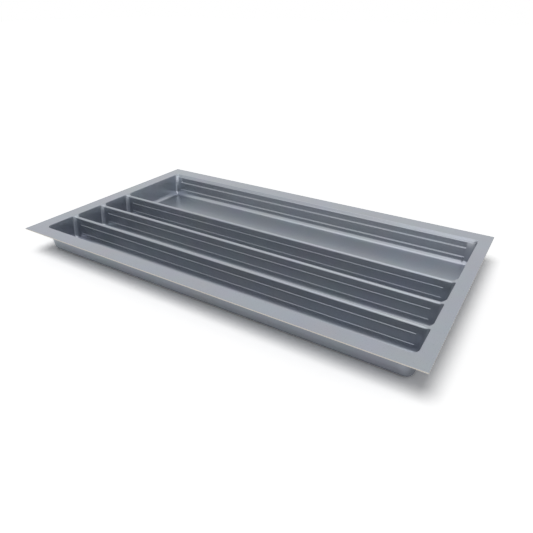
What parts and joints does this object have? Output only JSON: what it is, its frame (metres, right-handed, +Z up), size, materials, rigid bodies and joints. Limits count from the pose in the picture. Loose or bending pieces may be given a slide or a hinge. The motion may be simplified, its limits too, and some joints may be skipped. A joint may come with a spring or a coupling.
{
  "type": "cutlery tray",
  "caption": "Shallow drawer tray formed from one grey plastic sheet, with long narrow compartments, one wide compartment, stepped folded dividers and a broad rim to trim to fit.",
  "frame": {"origin": "under the middle of the rim, on the surface that the tray rests on", "axes": "+X along the compartments to the right, +Y from the narrow compartments to the wide one, +Z up"},
  "size_m": [0.86, 0.4902, 0.055],
  "materials": {
    "tray_plastic": "fine-grained satin silver grey"
  },
  "bodies": {
    "root": {"rim_flange": "tray_plastic", "front_wall": "tray_plastic", "divider_front": "tray_plastic", "divider_middle": "tray_plastic", "divider_rear": "tray_plastic", "back_wall": "tray_plastic", "narrow_floor_front": "tray_plastic", "narrow_floor_middle": "tray_plastic", "narrow_floor_rear": "tray_plastic", "wide_floor": "tray_plastic", "end_wall_left": "tray_plastic", "end_wall_right": "tray_plastic"}
  },
  "joints": []
}
